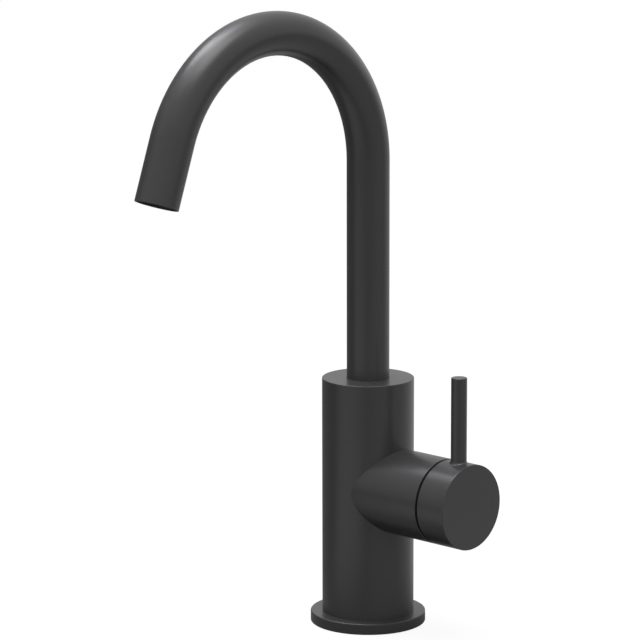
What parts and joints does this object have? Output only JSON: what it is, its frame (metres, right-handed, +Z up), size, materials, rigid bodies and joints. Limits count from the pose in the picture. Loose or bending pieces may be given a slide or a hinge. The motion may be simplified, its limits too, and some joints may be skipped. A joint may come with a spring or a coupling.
{
  "type": "basin mixer tap",
  "caption": "Tall matt black basin mixer tap with a round body, an arched swivel spout and a side lever that opens and mixes the water.",
  "frame": {"origin": "centre of the base flange's underside, on the deck that the tap stands on", "axes": "+Z up along the body and the spout's swivel axis; -Y is the way the spout points; +X runs out along the handle's axis"},
  "size_m": [0.1028, 0.1895, 0.327],
  "materials": {
    "black_coat": "matt powder coat, fine grain",
    "black_coat_flange": "matt powder coat, fine grain",
    "black_coat_trim": "matt powder coat in the shade of the seam and of the spout's mouth",
    "black_coat_handle": "matt powder coat, fine grain",
    "black_coat_spout": "matt powder coat, fine grain",
    "rubber": "moulded, slightly dull",
    "white_plastic": "moulded acetal",
    "grey_plastic": "moulded, glass filled",
    "black_plastic": "moulded, dull",
    "ceramic": "lapped alumina ceramic",
    "brass": "turned",
    "steel": "turned stainless"
  },
  "bodies": {
    "body": {"body_casting": "black_coat", "base_flange": "black_coat_flange", "base_seal": "rubber", "spout_thrust_washer": "white_plastic", "spout_lock_screw": "steel", "cartridge_base": "grey_plastic", "inlet_seals": "rubber", "fixed_disc": "ceramic", "disc_seals": "rubber", "cartridge_housing": "white_plastic", "cartridge_nut": "brass", "cover_ring": "black_coat_trim"},
    "mixer": {"cartridge_driver": "grey_plastic", "pivot_pin": "steel"},
    "disc": {"moving_disc": "ceramic", "disc_carrier": "white_plastic"},
    "handle": {"cartridge_stem": "brass", "handle_hub": "black_coat_handle", "lever_rod": "black_coat_handle", "handle_grub_screw": "steel", "grub_screw_plug": "black_plastic"},
    "spout": {"spout_tube": "black_coat_spout", "spout_ferrule": "brass", "spout_o_rings": "rubber", "spout_guide_ring": "white_plastic", "outlet_sleeve": "black_coat_trim", "aerator_housing": "black_plastic", "aerator_screen": "black_plastic", "aerator_seal": "rubber"}
  },
  "joints": [
    {"name": "spout_swivel", "type": "hinge", "parent": "body", "child": "spout", "pos_m": [0, 0, 0.098], "axis": [0, 0, 1], "range_deg": [-60, 60]},
    {"name": "temperature_turn", "type": "hinge", "parent": "body", "child": "mixer", "pos_m": [0.042, 0, 0.0734], "axis": [1, 0, 0], "range_deg": [-50, 50]},
    {"name": "flow_tilt", "type": "hinge", "parent": "mixer", "child": "handle", "pos_m": [0.042, 0, 0.0734], "axis": [0, 1, 0], "range_deg": [0, 25]},
    {"name": "disc_slide", "type": "slide", "parent": "mixer", "child": "disc", "axis": [0, 0, 1], "range_m": [0, 0.00395]}
  ],
  "couplings": [
    {"joint": "disc_slide", "follows": "flow_tilt", "m_per_rad": 0.009}
  ]
}
